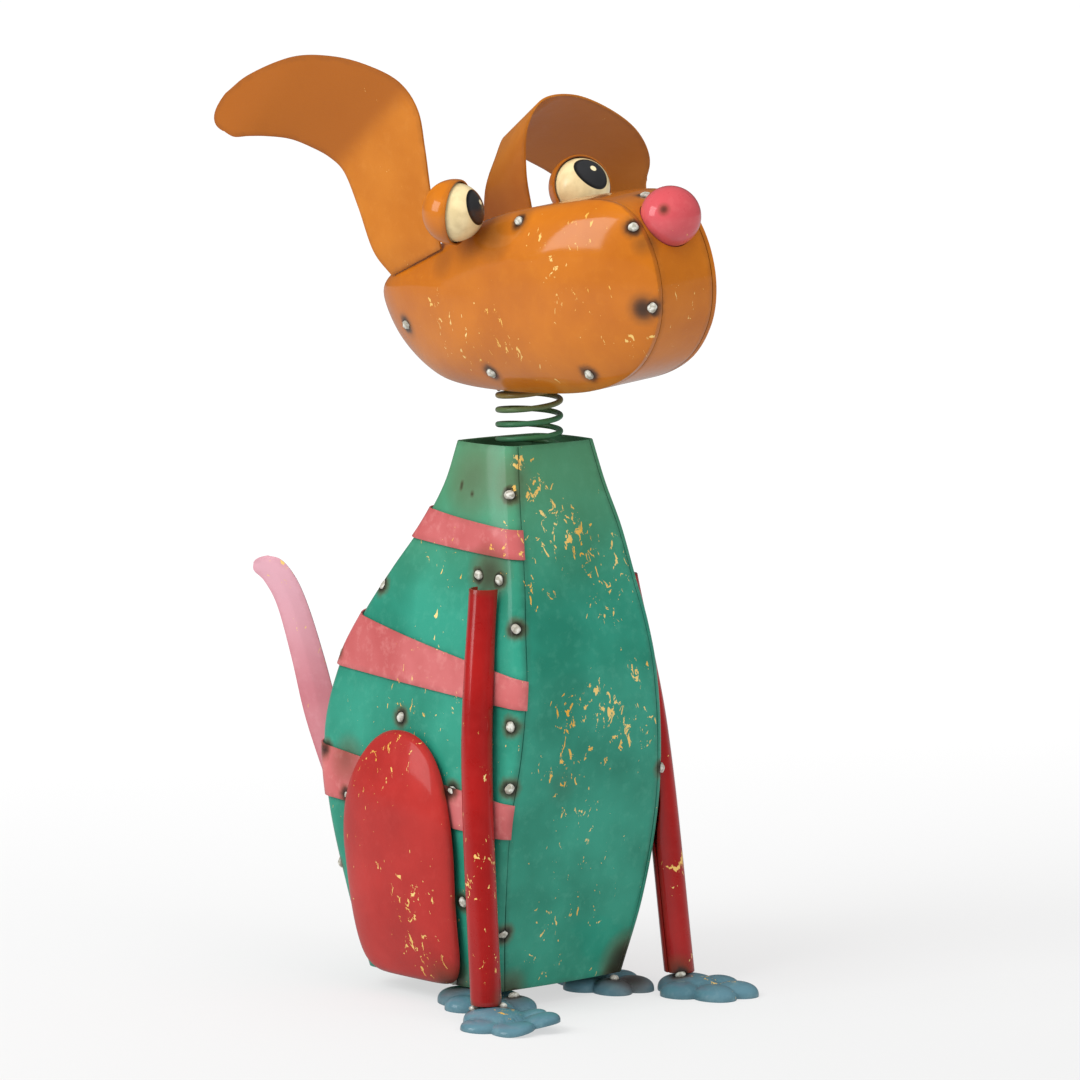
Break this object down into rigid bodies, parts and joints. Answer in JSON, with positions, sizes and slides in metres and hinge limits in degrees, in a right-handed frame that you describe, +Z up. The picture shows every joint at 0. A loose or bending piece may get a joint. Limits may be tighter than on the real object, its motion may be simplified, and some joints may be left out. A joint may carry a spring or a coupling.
{
  "type": "scrap metal dog sculpture",
  "caption": "Seated garden dog welded from painted scrap sheet: a striped barrel body, tube front legs, lobed paws, a sabre tail and a wide head nodding on a coil spring",
  "frame": {"origin": "bottom centre of the dog's bounding box, on the ground under the body", "axes": "+Z up; the dog faces -Y; its right side is -X; at rest with the head tilted 6 degrees to its right"},
  "size_m": [0.1776, 0.248, 0.3963],
  "materials": {
    "body_teal": "worn teal paint on sheet steel, gold flecks",
    "stripe_pink": "salmon pink paint on thin steel strip",
    "haunch_red": "brick red paint on a pressed plate",
    "leg_red": "deep red paint on steel tube",
    "paw_blue": "blue-grey paint on pressed steel",
    "tail_pink": "pale pink paint on sheet steel",
    "spring_green": "green to olive paint on spring wire",
    "head_orange": "glossy orange enamel on pressed steel",
    "ear_orange": "orange and pink paint on sheet steel",
    "eye_cream": "cream enamel with a painted black pupil",
    "nose_pink": "glossy pink enamel on a pressed ball"
  },
  "bodies": {
    "torso": {"body_front_panel": "body_teal", "body_back_panel": "body_teal", "body_side_right": "body_teal", "body_side_left": "body_teal", "stripe_neck_right": "stripe_pink", "stripe_neck_left": "stripe_pink", "stripe_chest_right": "stripe_pink", "stripe_chest_left": "stripe_pink", "stripe_belly_right": "stripe_pink", "stripe_belly_left": "stripe_pink", "haunch_right": "haunch_red", "haunch_left": "haunch_red", "front_leg_right": "leg_red", "front_leg_left": "leg_red", "front_paw_right": "paw_blue", "front_paw_left": "paw_blue", "hind_paw_right": "paw_blue", "hind_paw_left": "paw_blue", "tail": "tail_pink", "neck_spring": "spring_green"},
    "head": {"head_band": "head_orange", "cheek_right": "head_orange", "cheek_left": "head_orange", "eyelid_right": "head_orange", "eyelid_left": "head_orange", "eyeball_right": "eye_cream", "eyeball_left": "eye_cream", "ear_right": "ear_orange", "ear_left": "ear_orange", "nose": "nose_pink"}
  },
  "joints": [
    {"name": "head_nod", "type": "hinge", "parent": "torso", "child": "head", "pos_m": [-0.01405, -0.01551, 0.247], "axis": [1, 0, 0], "range_deg": [-10, 10], "stiffness_Nm_per_rad": 2, "springref_deg": -2.17, "deforming": ["neck_spring"]}
  ]
}
